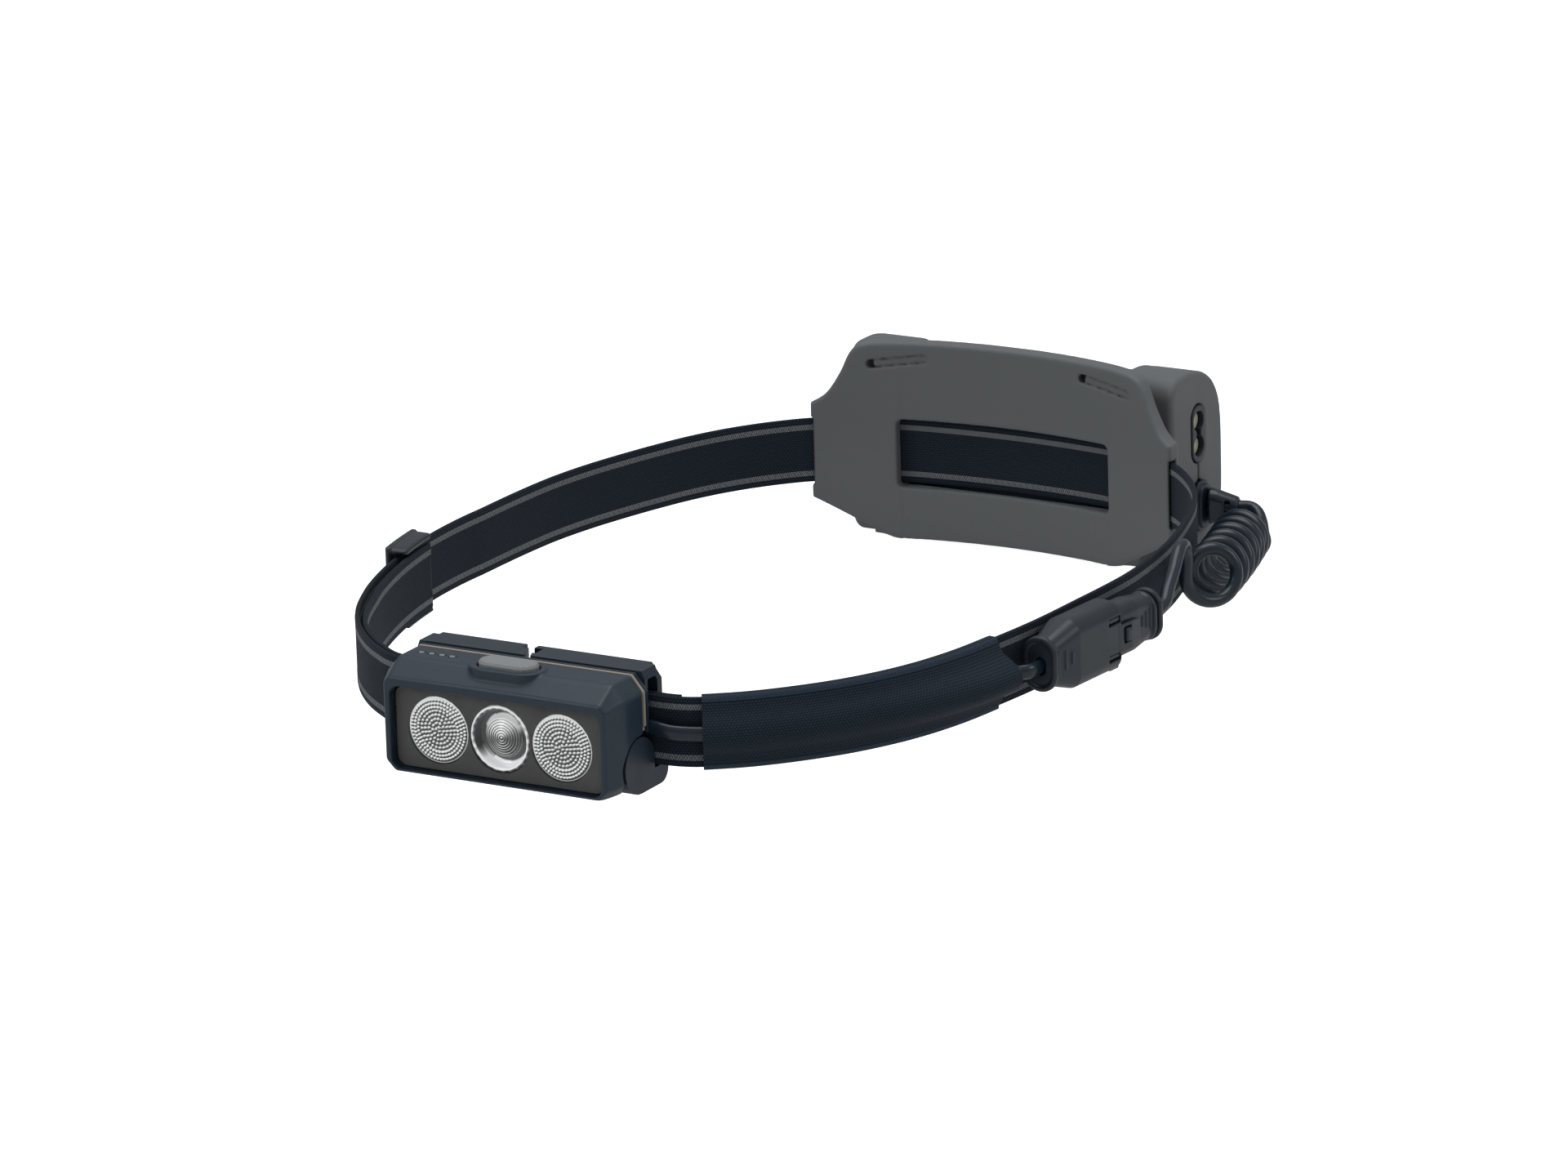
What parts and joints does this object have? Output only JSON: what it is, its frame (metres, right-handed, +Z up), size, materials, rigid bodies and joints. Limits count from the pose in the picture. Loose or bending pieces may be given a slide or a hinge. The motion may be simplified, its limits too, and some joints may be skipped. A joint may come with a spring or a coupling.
{
  "type": "headlamp",
  "caption": "Rechargeable headlamp: tilting front lamp with flood and spot optics, fabric head loop with slider, pull-apart cable connector, coiled lead and rear battery pack in a soft holder.",
  "frame": {"origin": "middle of the bracket's forehead face, on the mid plane of the webbing", "axes": "+Z up as worn, -Y the way the lamp shines, +Y towards the battery pack, X across the head; the cable and connector are on the +X side"},
  "size_m": [0.1648, 0.2475, 0.0476],
  "materials": {
    "navy_shell": "satin moulded",
    "seal_rubber": "matt",
    "clear_window": "polished polycarbonate",
    "optic_clear": "polished acrylic",
    "panel_dark": "matt",
    "steel": "satin",
    "led_yellow": "gloss",
    "board_white": "solder mask",
    "aluminium": "satin",
    "board_green": "solder mask",
    "switch_black": "matt",
    "button_grey": "matt soft touch",
    "light_pipe": "frosted",
    "cable_jacket": "satin",
    "band_fabric": "woven webbing",
    "sleeve_fabric": "woven, folded hem",
    "connector_plastic": "satin",
    "seal_red": "matt",
    "contact_brass": "plated",
    "holder_grey": "matt soft touch",
    "cell_wrap": "shrink wrap",
    "deep_navy": "satin",
    "contact_cream": "plated"
  },
  "bodies": {
    "headset": {"head_bracket": "navy_shell", "tilt_pin_left": "steel", "tilt_pin_right": "steel", "headband": "band_fabric", "adjuster_strap": "band_fabric", "cable_sleeve": "sleeve_fabric", "front_cable": "cable_jacket", "connector_socket": "connector_plastic", "socket_pin_upper": "contact_brass", "socket_pin_lower": "contact_brass", "coil_cable": "cable_jacket", "cable_gland": "deep_navy", "cable_boot": "cable_jacket", "battery_holder": "holder_grey", "battery_case": "navy_shell", "case_seal": "seal_rubber", "battery_end_cap": "navy_shell", "cell_upper": "cell_wrap", "cell_lower": "cell_wrap", "contact_spring_upper": "steel", "contact_spring_lower": "steel", "contact_plate": "contact_brass", "battery_board": "board_green", "charge_port": "deep_navy", "charge_contact_upper": "contact_cream", "charge_contact_lower": "contact_cream"},
    "lamp": {"lamp_front_shell": "navy_shell", "lamp_seal": "seal_rubber", "lamp_rear_shell": "navy_shell", "lamp_screw_1": "steel", "lamp_screw_2": "steel", "front_window": "clear_window", "optic_plate": "panel_dark", "flood_optic_left": "optic_clear", "spot_optic_centre": "optic_clear", "flood_optic_right": "optic_clear", "led_left": "led_yellow", "led_centre": "led_yellow", "led_right": "led_yellow", "led_board": "board_white", "heat_spreader": "aluminium", "control_board": "board_green", "button_board": "board_green", "button_switch": "switch_black", "indicator_light_pipe": "light_pipe", "lamp_cable_gland": "cable_jacket"},
    "button": {"power_button": "button_grey"},
    "slider": {"strap_slider": "connector_plastic"},
    "plug": {"connector_plug": "connector_plastic", "connector_seal": "seal_red"}
  },
  "joints": [
    {"name": "lamp_tilt", "type": "hinge", "parent": "headset", "child": "lamp", "pos_m": [0, -0.011, -0.006], "axis": [1, 0, 0], "range_deg": [0, 50], "deforming": ["front_cable"]},
    {"name": "power_press", "type": "slide", "parent": "lamp", "child": "button", "axis": [0, 0, -1], "range_m": [0, 0.0007]},
    {"name": "strap_slide", "type": "hinge", "parent": "headset", "child": "slider", "pos_m": [0.0735, 0.0892, 0], "axis": [0, 0, 1], "range_deg": [-8, 3], "deforming": ["adjuster_strap"]},
    {"name": "plug_release", "type": "slide", "parent": "headset", "child": "plug", "axis": [0.0862, 0.9963, 0], "range_m": [0, 0.015], "deforming": ["coil_cable"]}
  ]
}
